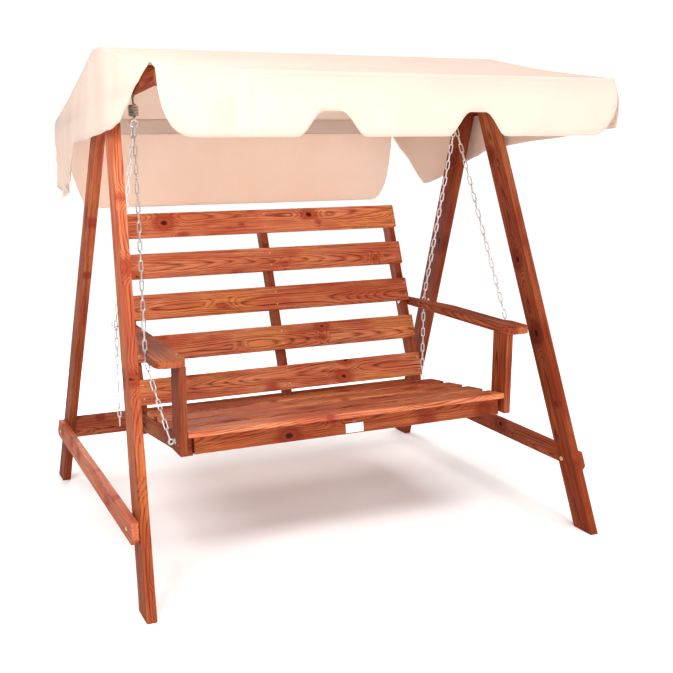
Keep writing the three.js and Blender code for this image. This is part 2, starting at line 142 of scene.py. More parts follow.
class Shader:
    """A node material. Its methods add nodes and give the last one's output."""

    def __init__(self, name):
        self.material = bpy.data.materials.new(name)
        self.material.use_nodes = True
        self.tree = self.material.node_tree
        self.surface = self.tree.nodes["Principled BSDF"]

    def put(self, value, socket):
        if isinstance(value, bpy.types.NodeSocket):
            self.tree.links.new(value, socket)
        else:
            socket.default_value = value

    def node(self, kind, inputs, output=0, **settings):
        made = self.tree.nodes.new("ShaderNode" + kind)
        for name, value in settings.items():
            setattr(made, name, value)
        for socket, value in inputs.items():
            self.put(value, made.inputs[socket])
        return made.outputs[output]

    def attribute(self, name, output="Vector"):
        return self.node("Attribute", {}, output, attribute_name=name)

    def math(self, operation, a, b=0.0):
        return self.node("Math", {0: a, 1: b}, operation=operation)

    def times(self, a, b):
        return self.math("MULTIPLY", a, b)

    def total(self, first, *weighted):
        """The first value, plus each later one times its weight."""
        for value, weight in weighted:
            first = self.math("ADD", first, self.times(value, weight))
        return first

    def vector(self, operation, a, b=(0, 0, 0)):
        return self.node("VectorMath", {0: a, 1: b}, operation=operation)

    def length(self, a):
        return self.node("VectorMath", {0: a}, "Value", operation="LENGTH")

    def part(self, a, axis):
        return self.node("SeparateXYZ", {0: a}, axis)

    def spread(self, value, x, y, z):
        """One number times three, as a vector."""
        parts = {i: self.times(value, k) for i, k in enumerate((x, y, z))}
        return self.node("CombineXYZ", parts)

    def noise(self, at, stretch, detail=2.0, rough=0.5):
        place = self.vector("MULTIPLY", at, stretch)
        return self.node("TexNoise", {"Vector": place, "Scale": 1.0, "Detail": detail,
                                      "Roughness": rough}, "Fac")

    def remap(self, value, low, high, to_low=0.0, to_high=1.0, smooth=False):
        inputs = {"Value": value, "From Min": low, "From Max": high,
                  "To Min": to_low, "To Max": to_high}
        kind = "SMOOTHSTEP" if smooth else "LINEAR"
        return self.node("MapRange", inputs, interpolation_type=kind)

    def mix(self, share, a, b, blend="MIX"):
        made = self.tree.nodes.new("ShaderNodeMix")
        made.data_type = "RGBA"
        made.blend_type = blend
        for socket, value in ((0, share), (6, a), (7, b)):
            self.put(value, made.inputs[socket])
        return made.outputs[2]

    def curve(self, value, stops):
        """A smooth curve through (place, height) stops."""
        made = self.tree.nodes.new("ShaderNodeValToRGB")
        ramp = made.color_ramp
        ramp.interpolation = "EASE"
        while len(ramp.elements) < len(stops):
            ramp.elements.new(0.5)
        for element, (place, height) in zip(ramp.elements, stops):
            element.position = place
            element.color = (height, height, height, 1)
        self.put(value, made.inputs[0])
        return made.outputs[0]

    def bump(self, height, distance, strength=1.0):
        normal = self.node("Bump", {"Height": height, "Distance": distance, "Strength": strength})
        self.put(normal, self.surface.inputs["Normal"])

    def finish(self, **values):
        """Sets the surface's own sockets, named with _ for a space."""
        for name, value in values.items():
            self.put(value, self.surface.inputs[name.replace("_", " ")])
        return self.material


def rgb(red, green, blue):
    """A screen colour, 0 to 255, as the shader's linear one."""
    return tuple((part / 255) ** 2.2 for part in (red, green, blue)) + (1,)


# ------------------------------------------------------------------- materials

RING_SPACING = 0.0042           # one year's growth
THREAD_PAIR = 0.0011            # two threads of the weave
STITCH_LENGTH = 0.0055          # a stitch and the gap after it


def stained_pine():
    """Plain-sawn pine under a red-brown stain: rings, knots, fibres and blotches."""
    s = Shader("stained_pine")
    grain = s.attribute("grain")
    board = s.attribute("board", "Fac")
    place = s.vector("ADD", grain, s.spread(board, 37.0, 11.0, 23.0))

    # Knots: two cells in three of a stretched lattice hold one each.
    cell_size = (3.0, 10.0, 1.5)
    scaled = s.vector("MULTIPLY", place, cell_size)
    cells = {"Vector": scaled, "Scale": 1.0, "Randomness": 0.85}
    centre = s.node("TexVoronoi", cells, "Position")
    chance = s.node("TexVoronoi", cells, "Color")
    away = s.vector("DIVIDE", s.vector("SUBTRACT", scaled, centre), cell_size)
    ragged = s.noise(place, (60, 130, 20))
    distance = s.length(s.vector("MULTIPLY", away, (0.75, 1.0, 0.05)))
    radius = s.remap(s.part(chance, 1), 0, 1, 0.007, 0.018)
    reach = s.math("DIVIDE", s.total(distance, (ragged, 0.012)), radius)
    present = s.math("GREATER_THAN", s.part(chance, 0), 0.34)
    knot = s.times(present, s.remap(reach, 1.25, 0.8, smooth=True))
    swirl = s.times(present, s.remap(reach, 5.5, 0.0, smooth=True))

    # Rings: distance from a tapered, wandering pith, bent round the knots.
    wander = s.noise(place, (1.1, 5.0, 5.0), 1.5)
    ripple = s.noise(place, (3.0, 20.0, 20.0))
    feather = s.noise(place, (8.0, 260.0, 260.0))
    off_centre = s.remap(board, 0, 1, -0.030, 0.030)
    across = s.math("ADD", s.part(grain, 1), off_centre)
    depth = s.math("SUBTRACT", s.part(grain, 2), 0.034)
    from_pith = s.length(s.node("CombineXYZ", {0: 0.0, 1: across, 2: depth}))
    depth_in_tree = s.total(from_pith, (s.part(grain, 0), 0.030), (wander, 0.075),
                            (ripple, 0.003), (feather, 0.0020), (swirl, 0.016))
    rings = s.math("FRACT", s.math("DIVIDE", depth_in_tree, RING_SPACING))
    late_wood = s.curve(rings, ((0.0, 0.35), (0.12, 0.0), (0.55, 0.10), (0.86, 1.0), (1.0, 0.4)))
    knot_rings = s.math("FRACT", s.times(reach, 3.5))

    fibres = s.noise(place, (14.0, 900.0, 900.0), 3, 0.6)
    streaks = s.noise(place, (3.5, 130.0, 130.0), 3, 0.55)
    blotches = s.noise(place, (4.0, 12.0, 12.0), 3)
    pores = s.noise(place, (120.0, 1500.0, 1500.0), 1)

    patches = s.noise(place, (2.2, 5.0, 5.0))
    light = s.mix(s.remap(blotches, 0.35, 0.7, smooth=True), rgb(203, 116, 84), rgb(225, 150, 110))
    colour = s.mix(s.remap(patches, 0.48, 0.66, 0.0, 0.75, smooth=True), light, rgb(232, 156, 98))
    halo = s.remap(reach, 3.6, 1.4, 0.0, 0.8, smooth=True)
    rim = s.remap(reach, 2.0, 1.2, 0.0, 0.22, smooth=True)
    for share, layer in (
            (s.times(late_wood, s.remap(streaks, 0.3, 0.7, 0.4, 1.0)), rgb(102, 40, 28)),
            (s.remap(streaks, 0.50, 0.72, 0.0, 0.6), rgb(126, 50, 36)),
            (s.remap(streaks, 0.46, 0.26, 0.0, 0.5), rgb(236, 158, 116)),
            (s.remap(fibres, 0.4, 0.72, 0.0, 0.6), rgb(126, 52, 37)),
            (s.remap(wander, 0.45, 0.75, 0.0, 0.3, smooth=True), rgb(156, 64, 42)),
            (s.times(present, halo), rgb(142, 54, 38)),
            (s.times(present, rim), rgb(214, 122, 78)),
            (knot, s.mix(knot_rings, rgb(50, 18, 13), rgb(96, 38, 27)))):
        colour = s.mix(share, colour, layer)
    tone = s.remap(board, 0, 1, 0.88, 1.08)
    colour = s.mix(1.0, colour, s.spread(tone, 1.0, 1.0, 1.0), "MULTIPLY")
    # Darkening from each point's stain value: the boards' stain plus painted light and shade,
    # darker towards the floor, on the right-hand frame and on the canopy's arms.
    stain_and_shade = s.attribute("stain_and_shade", "Fac")
    colour = s.mix(stain_and_shade, colour, s.mix(1.0, colour, (0.46, 0.30, 0.19, 1), "MULTIPLY"))

    s.bump(s.total(s.times(late_wood, 0.5), (fibres, 0.6), (pores, 0.3)), 0.0004, 0.6)
    rough = s.remap(late_wood, 0, 1, 0.66, 0.50)
    return s.finish(Base_Color=colour, Roughness=rough, Specular_IOR_Level=0.18)


def canvas():
    """Plain-woven cream canvas with stitched seams and painted shade beside them, which lets some
    light through.
    """
    s = Shader("canvas")
    weave = s.attribute("weave")
    stitch = s.attribute("stitch", "Fac")
    across, along = s.part(weave, 0), s.part(weave, 1)
    thread = 2 * math.pi / THREAD_PAIR
    warp = s.math("SINE", s.times(across, thread))
    weft = s.math("SINE", s.times(along, thread))
    cloth = s.times(warp, weft)
    slubs = s.math("ADD", s.noise(weave, (5, 900, 1)), s.noise(weave, (900, 5, 1)))
    handled = s.noise(weave, (3.5, 3.5, 3.5), 4, 0.6)
    rumpled = s.noise(weave, (26, 26, 1), 3, 0.55)

    colour = s.mix(s.remap(handled, 0.3, 0.7), rgb(241, 224, 214), rgb(237, 217, 205))
    colour = s.mix(s.remap(slubs, 0.8, 1.25, 0.0, 0.16), colour, rgb(236, 216, 192))
    stitches = s.math("FRACT", s.math("DIVIDE", s.math("ADD", across, along), STITCH_LENGTH))
    dashes = s.math("LESS_THAN", stitches, 0.62)
    line = s.times(s.math("LESS_THAN", stitch, 0.0011), dashes)
    # Beside the stitch lines the cloth dips in the bump and is darkened in colour: painted shade
    # of the seam's furrow.
    furrow_and_shade = s.remap(stitch, 0.0, 0.004, 1.0, 0.0, smooth=True)
    colour = s.mix(s.times(furrow_and_shade, 0.22), colour, rgb(222, 196, 168))
    colour = s.mix(line, colour, rgb(246, 234, 216))

    height = s.total(s.times(cloth, 0.12), (slubs, 0.15), (rumpled, 3.2), (line, 1.2),
                     (furrow_and_shade, -0.8))
    s.bump(height, 0.0009, 0.8)
    s.finish(Base_Color=colour, Roughness=0.88, Specular_IOR_Level=0.2, Sheen_Weight=0.15)

    glow = s.node("BsdfTranslucent", {"Color": s.mix(0.7, colour, rgb(255, 242, 228))})
    surface = s.surface.outputs[0]
    both = s.node("MixShader", {0: 0.34, 1: surface, 2: glow})
    s.put(both, s.tree.nodes["Material Output"].inputs["Surface"])
    return s.material


def plated_steel(name, bright, dull, roughness, metallic):
    """Zinc plating: bright metal with dull clouds and small pits."""
    s = Shader(name)
    place = s.node("TexCoord", {}, "Object")
    clouds = s.noise(place, (90, 90, 90), 3, 0.6)
    pits = s.noise(place, (900, 900, 900))
    colour = s.mix(s.remap(clouds, 0.35, 0.7), bright, dull)
    rough = s.remap(clouds, 0.3, 0.7, roughness, roughness + 0.2)
    s.bump(s.total(clouds, (pits, 0.4)), 0.0002, 0.5)
    return s.finish(Base_Color=colour, Roughness=rough, Metallic=metallic)


def enamelled_plate():
    """White enamel on a thin plate, a little yellowed and scuffed."""
    s = Shader("enamelled_plate")
    place = s.node("TexCoord", {}, "Object")
    yellowed = s.noise(place, (40, 40, 40), 3)
    scuffs = s.noise(place, (30, 700, 700), 2, 0.7)
    colour = s.mix(s.remap(yellowed, 0.35, 0.7), rgb(238, 236, 232), rgb(222, 217, 207))
    colour = s.mix(s.remap(scuffs, 0.62, 0.8, 0.0, 0.5), colour, rgb(190, 184, 175))
    s.bump(scuffs, 0.0001, 0.4)
    return s.finish(Base_Color=colour, Roughness=s.remap(scuffs, 0.3, 0.8, 0.3, 0.55))


PINE = stained_pine()
CANVAS = canvas()
ZINC = plated_steel("zinc_steel", rgb(240, 241, 242), rgb(200, 202, 204), 0.24, 0.7)
SPRING_STEEL = plated_steel("spring_steel", rgb(190, 187, 182), rgb(104, 100, 96), 0.26, 0.85)
BRASSY = plated_steel("yellow_zinc", rgb(226, 196, 140), rgb(176, 142, 92), 0.32, 0.8)
ENAMEL = enamelled_plate()


# ------------------------------------------------------------- mesh helpers

def add_object(name, data):
    """A new object in the scene."""
    made = bpy.data.objects.new(name, data)
    bpy.context.scene.collection.objects.link(made)
    return made


def piece(name, shape, material):
    """Turns a bmesh into a smooth-shaded object."""
    mesh = bpy.data.meshes.new(name)
    bmesh.ops.recalc_face_normals(shape, faces=shape.faces)
    shape.to_mesh(mesh)
    shape.free()
    mesh.materials.append(material)
    mesh.polygons.foreach_set("use_smooth", [True] * len(mesh.polygons))
    made = add_object(name, mesh)
    return made


def flat_faces(made):
    """Keeps large faces flat-looking beside their rounded edges."""
    weighted = made.modifiers.new("weighted_normals", "WEIGHTED_NORMAL")
    weighted.keep_sharp = True


def skin(shape, rings, closed=False):
    """Faces between rings of points, and over the first and last unless they join up."""
    pairs = list(zip(rings, rings[1:]))
    if closed:
        pairs.append((rings[-1], rings[0]))
    for ring, following in pairs:
        for k in range(len(ring)):
            j = (k + 1) % len(ring)
            shape.faces.new((ring[k], ring[j], following[j], following[k]))
    if not closed:
        shape.faces.new(rings[0])
        shape.faces.new(reversed(rings[-1]))


def tube(shape, path, radius, sides=10, closed=False):
    """A round wire along a path, its section carried along without twist."""
    count = len(path)
    rings = []
    side = None
    for i, point in enumerate(path):
        before = path[i - 1] if i or closed else point
        after = path[(i + 1) % count] if i + 1 < count or closed else point
        forward = (after - before).normalized()
        if side is None:
            side = forward.orthogonal().normalized()
        side = (side - forward * side.dot(forward)).normalized()
        up = forward.cross(side)
        angles = (2 * math.pi * k / sides for k in range(sides))
        rings.append([shape.verts.new(point + radius * (math.cos(a) * side + math.sin(a) * up))
                      for a in angles])
    skin(shape, rings, closed)


def lathe(shape, profile, placing, sides=24, lobes=4):
    """Turns a profile about its own Z. A stop is (radius, height) or, for the rim
    of a screwdriver recess, (radius, height, lobe depth)."""
    rings = []
    for stop in profile:
        radius, height = stop[:2]
        lobe = stop[2] if len(stop) > 2 else 0.0
        ring = []
        for k in range(sides):
            a = 2 * math.pi * k / sides
            r = radius * (1 + lobe * math.cos(lobes * a))
            place = Vector((r * math.cos(a), r * math.sin(a), height))
            ring.append(shape.verts.new(placing @ place))
        rings.append(ring)
    skin(shape, rings)


def facing(point, direction):
    """A placing at a point with Z along a direction."""
    turn = Vector(direction).to_track_quat("Z", "Y").to_matrix().to_4x4()
    return Matrix.Translation(point) @ turn


def circle(centre, radius, first, second, steps=28):
    """A closed ring of points in the plane of two directions."""
    angles = (2 * math.pi * k / steps for k in range(steps))
    return [centre + radius * (math.cos(a) * first + math.sin(a) * second) for a in angles]


def smooth_path(points, steps=6):
    """A Catmull-Rom curve through points."""
    ends = [2 * points[0] - points[1]] + list(points) + [2 * points[-1] - points[-2]]
    path = []
    for a, b, c, d in zip(ends, ends[1:], ends[2:], ends[3:]):
        for k in range(steps):
            t = k / steps
            path.append(0.5 * (2 * b + (c - a) * t + (2 * a - 5 * b + 4 * c - d) * t * t
                               + (3 * b - 3 * c + d - a) * t ** 3))
    path.append(points[-1].copy())
    return path


# ----------------------------------------------------------------- the timber

def cleaned(node):
    """A CAD board's mesh with whole faces, ready for rounding."""
    shape = bmesh.new()
    shape.from_mesh(frame["nodes"][node].data)
    bmesh.ops.remove_doubles(shape, verts=shape.verts, dist=1e-5)
    bmesh.ops.dissolve_limit(shape, angle_limit=math.radians(0.5), verts=shape.verts,
                             edges=shape.edges)
    return shape


def rounded(shape, radius, shortest=0.015):
    """Rounds the long corners of a board, and leaves its bolt holes."""
    corners = [edge for edge in shape.edges
               if len(edge.link_faces) == 2 and edge.calc_length() > shortest
               and edge.calc_face_angle() > math.radians(30)]
    bmesh.ops.bevel(shape, geom=corners, offset=radius, segments=3, profile=0.5,
                    affect="EDGES", clamp_overlap=True)
    return shape


def stain_and_shade_of(node):
    """A board's darkening, its stain plus painted light and shade, at full height and at the
    floor.
    """
    return next(pair for start, pair in STAIN_AND_SHADE.items() if node.startswith(start))


def add_grain(mesh, number, stain_and_shade):
    """Writes each point's place in its board in metres (along, across and through), the board's
    tone, and how dark it is made there: its stain plus painted light and shade, darker towards the
    floor."""
    edges = (mesh.vertices[a].co - mesh.vertices[b].co
             for a, b in (edge.vertices for edge in mesh.edges))
    along = max(edges, key=lambda edge: edge.length).normalized()
    flattest = max((p for p in mesh.polygons if abs(p.normal.dot(along)) < 0.1),
                   key=lambda p: p.area).normal
    through = (flattest - along * flattest.dot(along)).normalized()
    if max(through, key=abs) < 0:
        through = -through
    across = through.cross(along)
    middle = sum((v.co for v in mesh.vertices), Vector()) / len(mesh.vertices)
    axes = Matrix((along, across, through))
    places = [axes @ (vertex.co - middle) for vertex in mesh.vertices]
    grain = mesh.attributes.new("grain", "FLOAT_VECTOR", "POINT")
    grain.data.foreach_set("vector", [value for place in places for value in place])
    tone = mesh.attributes.new("board", "FLOAT", "POINT")
    tone.data.foreach_set("value", [number * GOLDEN_SHARE % 1] * len(places))
    at_top, at_floor = stain_and_shade
    shades = [at_floor + (at_top - at_floor) * vertex.co.z / FRAME_HEIGHT
              for vertex in mesh.vertices]
    stain_and_shade_layer = mesh.attributes.new("stain_and_shade", "FLOAT", "POINT")
    stain_and_shade_layer.data.foreach_set("value", shades)


def build_timber():
    for number, node in enumerate(WOOD_NODES):
        made = piece(node + "_wood", rounded(cleaned(node), WOOD_ROUNDING), PINE)
        add_grain(made.data, number, stain_and_shade_of(node))
        flat_faces(made)
        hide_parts(node)
        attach(made, frame["nodes"][node]["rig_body"])


build_timber()


# ------------------------------------------------------- screws, bolts and nuts

SCREW_HEAD = ((0.0001, -0.0009), (0.0012, -0.0009, 0.3), (0.0016, 0.0001, 0.35), (0.0032, 0.0003),
              (0.0036, 0.0001), (0.0030, -0.0012))
BOLT_HEAD = ((0.0001, -0.0002), (0.0030, -0.0002, 0.06), (0.0032, 0.0028, 0.06), (0.0052, 0.0033),
             (0.0080, 0.0020), (0.0092, 0.0001), (0.0092, -0.0002))
WASHER_HEAD = ((0.0001, 0.0010), (0.0026, 0.0010, 0.06), (0.0030, 0.0044, 0.06), (0.0050, 0.0048),
               (0.0074, 0.0026), (0.0078, 0.0016), (0.0122, 0.0014), (0.0125, 0.0002),
               (0.0122, -0.0002))
BARREL_NUT = ((0.0001, -0.0016), (0.0014, -0.0016), (0.0018, 0.0006), (0.0066, 0.0006),
              (0.0072, 0.0), (0.0072, -0.001))
HEXAGON = 6
BEAM_BOLTS = ((-0.012, 1.795), (0.012, 1.735))      # y, z in each frame
ARM_BOLT_Y = 0.079
ARM_LINE = {"z": 1.628, "fall": 0.083, "proud": 0.0203}     # the canopy arms' middle line
REST_BOLT_Y = 0.343
STRETCHER = {"thick": 0.034, "wide": 0.092, "nut_inset": 0.030}


def heads(name, profile, placings, material, body, lobes=4):
    """Many fasteners of one kind as one piece."""
    shape = bmesh.new()
    for placing in placings:
        lathe(shape, profile, placing, lobes=lobes)
    made = piece(name, shape, material)
    flat_faces(made)
    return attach(made, body)


def slat_screws(board_frame, boards, on_top):
    """Two screws where each slat crosses each upright or bearer."""
    placings = []
    for i in range(boards["count"]):
        for line in SCREW_LINES:
            for k, x in enumerate(UPRIGHT_X):
                wobble = 0.0025 * noise.noise(Vector((i * 3.1, line * 90, k * 5.7)))
                at = i * boards["pitch"] + line + wobble
                spot = (x + wobble, at, 0.0) if on_top else (x + wobble, 0.0, at)
                direction = (0, 0, 1) if on_top else (0, -1, 0)
                placings.append(board_frame @ facing(spot, direction))
    return placings


def build_screws():
    heads("back_screws", SCREW_HEAD, slat_screws(BACK_FRAME, BACK, False), BRASSY, "bench")
    heads("seat_screws", SCREW_HEAD, slat_screws(SEAT_FRAME, SEAT, True), BRASSY, "bench")
    arm_screws = []
    for name, side in SIDES:
        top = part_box("armrest_" + name)[1].z
        middle = centre_of("arm_post_" + name)
        for y in (middle.y - 0.024, middle.y + 0.024):
            arm_screws.append(facing((middle.x, y, top), (0, 0, 1)))
        outer = inner_outer("arm_post_" + name, side)[1]
        for y in (middle.y - 0.020, middle.y + 0.020):
            arm_screws.append(facing((outer, y, middle.z - 0.125), (side, 0, 0)))
    heads("armrest_screws", SCREW_HEAD, arm_screws, BRASSY, "bench")


def build_frame_bolts():
    for name, side in SIDES:
        for end_name, end in ENDS:
            node = f"{end_name}_rail_bolt_{name}"
            _, y, z = centre_of(node)
            outward = Vector((side, 0, LEAN))
            inner, outer = inner_outer(node, side)
            placings = [facing((outer - side * 0.003, y, z), outward)]
            if end < 0:
                placings.append(facing((inner + side * 0.003, y, z), -outward))
            head = heads(node + "_heads", BOLT_HEAD, placings, BRASSY, "frame", lobes=HEXAGON)
            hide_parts(node)


def build_barrel_nuts():
    """Nuts let into the front face of the rear stretcher, where its end bolts land."""
    low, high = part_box("rear_stretcher")
    tilt = math.atan(LEG_SLOPE)
    bolt = centre_of("rear_rail_bolt_right")
    bolt.x = 0
    forwards = Vector((0, -math.cos(tilt), -math.sin(tilt)))
    face = Vector((0, low.y, low.z + STRETCHER["thick"] * math.sin(tilt)
                   + STRETCHER["wide"] * math.cos(tilt)))
    spot = bolt - forwards * (bolt - face).dot(forwards)
    placings = [facing((side * (abs(high.x) - STRETCHER["nut_inset"]), spot.y, spot.z), forwards)
                for _, side in SIDES]
    heads("barrel_nuts", BARREL_NUT, placings, BRASSY, "frame", lobes=2)


def build_hidden_bolts():
    """Bolts from the legs into the beam, through the arms, and from the uprights
    into the armrests."""
    beam, arms, rests = [], [], []
    for name, side in SIDES:
        outward = Vector((side, 0, LEAN))
        for y, z in BEAM_BOLTS:
            beam.append(facing((side * outer_face(z), y, z), outward))
        for y in (-ARM_BOLT_Y, ARM_BOLT_Y):
            z = ARM_LINE["z"] - ARM_LINE["fall"] * y
            arms.append(facing((side * outer_face(z, ARM_LINE["proud"]), y, z), outward))
        inner = inner_outer("back_upright_" + name, side)[0]
        rests.append(facing((inner, REST_BOLT_Y, centre_of("armrest_" + name).z), (-side, 0, 0)))
    heads("beam_bolts", BOLT_HEAD, beam, ZINC, "frame", lobes=HEXAGON)
    heads("arm_bolts", SCREW_HEAD, [m @ Matrix.Scale(1.8, 4) for m in arms], ZINC, "frame")
    heads("armrest_bolts", WASHER_HEAD, rests, ZINC, "bench", lobes=HEXAGON)


build_screws()
build_frame_bolts()
build_barrel_nuts()
build_hidden_bolts()


# ------------------------------------------------------------- hanging gear

X, Y, Z = Vector((1, 0, 0)), Vector((0, 1, 0)), Vector((0, 0, 1))
EYE = {"radius": 0.014, "wire": 0.0039, "z": 1.684}
PIVOT_Z = 1.670
HOOK_WIRE = 0.0034
SPRING = {"radius": 0.0177, "wire": 0.0017, "turns": 8, "low": 1.588, "high": 1.642}
RING = {"radius": 0.013, "wire": 0.0038}
COLLAR = ((0.0040, 0.0), (0.0068, 0.0), (0.0072, 0.0012), (0.0066, 0.0024), (0.0040, 0.0026))
NUT = ((0.0040, 0.0), (0.0074, 0.0), (0.0080, 0.0010), (0.0080, 0.0056), (0.0074, 0.0066),
       (0.0040, 0.0066))
WASHER = ((0.0042, 0.0), (0.0110, 0.0), (0.0114, 0.0006), (0.0110, 0.0012), (0.0042, 0.0012))
REST_EDGE_X = 0.7075            # outer edge of an armrest, at its hook
REAR_CHAIN = {"x": 0.722, "y": 0.2742}
FRONT_CHAIN = {"inset": 0.009, "high_y": -0.312, "low_y": -0.322}     # at the armrest
POST_EYE = {"x": 0.698, "radius": 0.009, "wire": 0.0037}
POST_OUTER_X = 0.6843
BEARER_INNER_X = 0.628


def hung(side, z, y=0.0):
    """A point on or beside the line of a spring."""
    return Vector((side * HANG_X, y, z))


def metal(name, shape, body, node=None, material=ZINC):
    """A piece of metal on a body, and the CAD node that it stands for, if any."""
    made = piece(name, shape, material)
    if node:
        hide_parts(node)
    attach(made, body)


def eye(shape, shank, centre, spec, start, sideways, degrees):
    """A wire that runs up a shank and on round a centre, through angles measured from
    one direction towards another."""
    wrap = [centre + spec["radius"] * (math.sin(a) * sideways + math.cos(a) * start)
            for a in map(math.radians, degrees)]
    tube(shape, smooth_path(shank, 4)[:-1] + smooth_path([shank[1], *wrap], 2), spec["wire"])


def beam_eye(name, side):
    """A screw eye in the underside of the beam."""
    shape = bmesh.new()
    centre = hung(side, EYE["z"])
    shank = [hung(side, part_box("beam_eye_" + name)[1].z), centre + Z * (EYE["radius"] + 0.012)]
    eye(shape, shank, centre, EYE, Z, X, range(12, 340, 10))
    lathe(shape, COLLAR, facing(hung(side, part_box("top_beam")[0].z), -Z))
    metal("screw_eye_" + name, shape, "frame", "beam_eye_" + name)


def spring_hook(name, side):
    """The hook that turns in the beam's eye and carries the spring."""
    shape = bmesh.new()
    bend = EYE["wire"] + HOOK_WIRE + 0.0006
    arch = [hung(side, PIVOT_Z + bend * math.sin(a), bend * math.cos(a))
            for a in (math.pi * k / 6 for k in range(7))]
    points = [hung(side, SPRING["high"] - 0.004), hung(side, SPRING["high"] + 0.006, 0.001),
              hung(side, PIVOT_Z - 0.012, bend * 0.8), *arch,
              hung(side, PIVOT_Z - 0.009, -bend * 1.1)]
    tube(shape, smooth_path(points, 3), HOOK_WIRE)
    metal("hook_" + name, shape, "hangers", "spring_hook_" + name, material=SPRING_STEEL)


def coil_spring(name, side):
    """Coils that narrow at both ends to a short straight wire in the middle."""
    shape = bmesh.new()
    radius, wire = SPRING["radius"], SPRING["wire"]
    low, high = SPRING["low"] + 0.006, SPRING["high"] - 0.006
    steps = 18 * SPRING["turns"]
    coil = []
    for k in range(steps + 1):
        share = k / steps
        angle = 2 * math.pi * SPRING["turns"] * share
        ease = min(1.0, share * 9, (1 - share) * 9)
        r = radius * (0.45 + 0.55 * math.sin(ease * math.pi / 2))
        coil.append(Vector((side * HANG_X + r * math.cos(angle), r * math.sin(angle),
                            low + (high - low) * share)))
    foot, head = hung(side, SPRING["low"] - 0.002), hung(side, SPRING["high"] + 0.002)
    tube(shape, [foot, foot + Z * 0.003, *coil, head - Z * 0.003, head], wire, 8)
    made = piece("spring_" + name, shape, SPRING_STEEL)
    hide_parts("coil_spring_" + name)
    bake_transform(made)


def link_ring(name, side):
    """The ring below the spring, with the loop that holds it."""
    shape = bmesh.new()
    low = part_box("chain_ring_" + name)[0].z
    centre = hung(side, low + RING["radius"] + RING["wire"])
    tube(shape, circle(centre, RING["radius"], X, Z), RING["wire"], 12, closed=True)
    top = centre + Z * (RING["radius"] + 0.001)
    tube(shape, circle(top + Z * 0.001, 0.0062, Y, Z, 18), 0.0022, 8, closed=True)
    metal("shackle_" + name, shape, "bench", "chain_ring_" + name)


def link_path(start, end, across):
    """The middle line of one chain link: two straight sides and two round ends."""
    half_width = LINK["half_width"]
    forward = (end - start).normalized()
    first = start - forward * (CHAIN_WIRE - half_width)
    last = end + forward * (CHAIN_WIRE - half_width)
    path = []
    for middle, turn in ((last, 0.0), (first, math.pi)):
        for k in range(7):
            a = turn + math.pi * (0.5 - k / 6)
            path.append(middle + half_width * (math.cos(a) * forward + math.sin(a) * across))
    return path


def chain(name, route, node):
    """Welded links along a route, each turned a quarter from the one before."""
    lengths = [(b - a).length for a, b in zip(route, route[1:])]
    total = sum(lengths)
    count = round(total / LINK["pitch"])

    def at(distance):
        for a, length, b in zip(route, lengths, route[1:]):
            if distance <= length:
                return a.lerp(b, distance / length)
            distance -= length
        return route[-1]

    shape = bmesh.new()
    for i in range(count):
        start, end = at(total * i / count), at(total * (i + 1) / count)
        forward = (end - start).normalized()
        sideways = (X - forward * X.dot(forward)).normalized()
        quarter = math.radians(90 * (i % 2) + 24 + 9 * noise.noise(Vector((i * 1.7, total, 0))))
        across = Matrix.Rotation(quarter, 3, forward) @ sideways
        tube(shape, link_path(start, end, across), CHAIN_WIRE, 8, closed=True)
    metal(name, shape, "bench", node)


def front_chain_route(name, side):
    """From the shackle, round the armrest's outer edge, to the eye in the post."""
    rest_low, rest_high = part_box("armrest_" + name)
    edge = side * (max(abs(rest_low.x), abs(rest_high.x)) - FRONT_CHAIN["inset"])
    eye_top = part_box("post_eye_" + name)[1].z
    return [hung(side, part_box("chain_ring_" + name)[0].z, -0.006),
            Vector((edge, FRONT_CHAIN["high_y"], rest_high.z + 0.008)),
            Vector((edge, FRONT_CHAIN["low_y"], rest_low.z - 0.008)),
            Vector((side * (POST_EYE["x"] + 0.004), centre_of("post_eye_" + name).y + 0.003,
                    eye_top - 0.004))]


def rear_chain_route(name, side):
    """From the shackle to the armrest's hook, and a spare end that hangs free."""
    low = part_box("rear_chain_" + name)[0]
    rest_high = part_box("armrest_hook_" + name)[1]
    chain_x, chain_y = side * REAR_CHAIN["x"], REAR_CHAIN["y"]
    return [hung(side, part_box("chain_ring_" + name)[0].z, 0.006),
            Vector((chain_x, chain_y, rest_high.z + 0.004)),
            Vector((chain_x, chain_y, low.z + 0.004))]


def armrest_hook(name, side):
    """A screw hook with its tip turned up."""
    low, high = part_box("armrest_hook_" + name)
    root, tip = inner_outer("armrest_hook_" + name, side)
    y, z = centre_of("armrest_hook_" + name).y, low.z + 0.0035

    def at(x, height):
        return Vector((x, y, z + height))

    points = [at(root, 0), at(tip - side * 0.014, 0), at(tip - side * 0.006, 0.002),
              at(tip - side * 0.002, 0.009), at(tip - side * 0.0035, high.z - z - 0.002)]
    shape = bmesh.new()
    tube(shape, smooth_path(points, 5), 0.0033)
    lathe(shape, COLLAR, facing((side * REST_EDGE_X, y, z), (side, 0, 0)))
    metal("screw_hook_" + name, shape, "bench", "armrest_hook_" + name)


